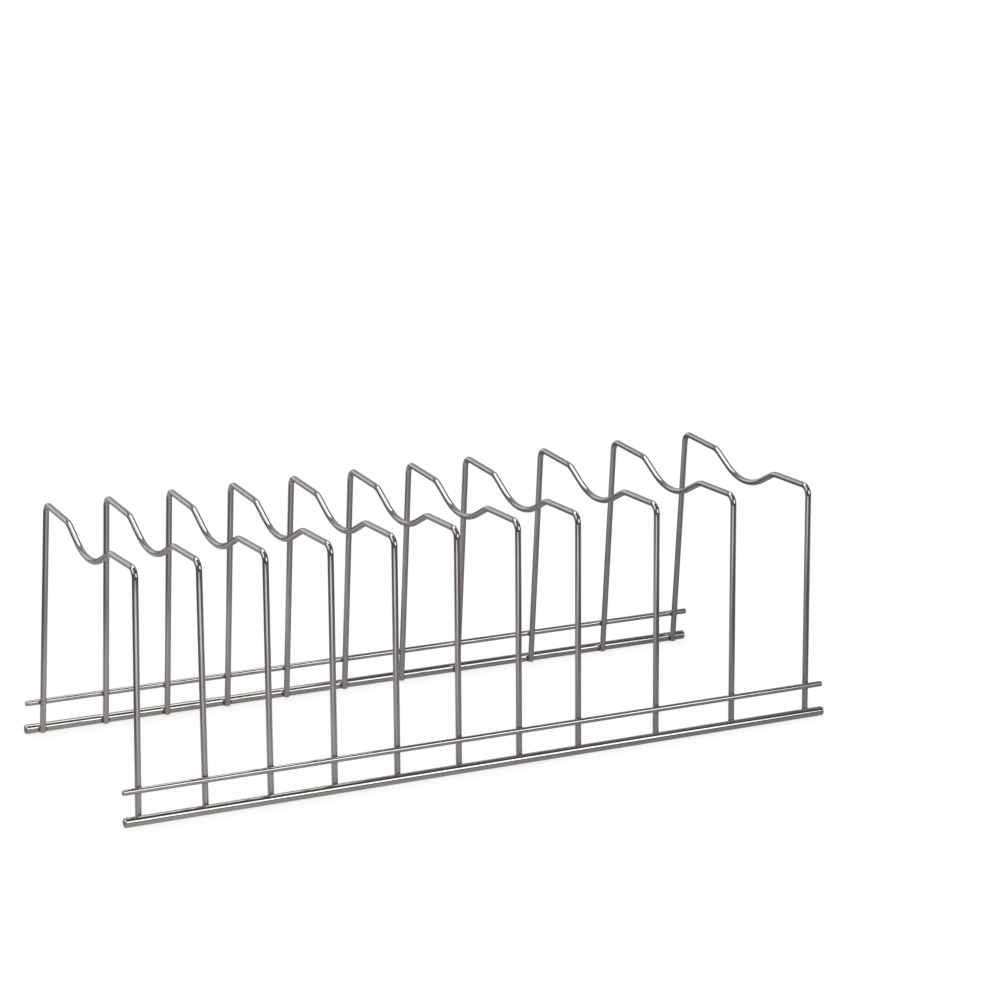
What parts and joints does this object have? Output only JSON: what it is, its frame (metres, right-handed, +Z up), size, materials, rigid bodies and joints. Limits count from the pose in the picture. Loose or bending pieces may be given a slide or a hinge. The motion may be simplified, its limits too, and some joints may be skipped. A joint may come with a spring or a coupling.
{
  "type": "pot lid rack",
  "caption": "Free-standing welded wire rack: a row of bent wire dividers with a dip in the middle, on two thick lower and two thin upper rails, with narrow slots and wider ones at one end.",
  "frame": {"origin": "centre of the bounding box, on the table", "axes": "+X along the row of dividers towards the wide slots, +Y across it to the back, +Z up"},
  "size_m": [0.404, 0.154, 0.1291],
  "materials": {
    "rail_wire": "polished",
    "divider_wire": "polished"
  },
  "bodies": {
    "root": {"front_lower_rail": "rail_wire", "back_lower_rail": "rail_wire", "front_upper_rail": "rail_wire", "back_upper_rail": "rail_wire", "divider_01": "divider_wire", "divider_02": "divider_wire", "divider_03": "divider_wire", "divider_04": "divider_wire", "divider_05": "divider_wire", "divider_06": "divider_wire", "divider_07": "divider_wire", "divider_08": "divider_wire", "divider_09": "divider_wire", "divider_10": "divider_wire", "divider_11": "divider_wire"}
  },
  "joints": []
}
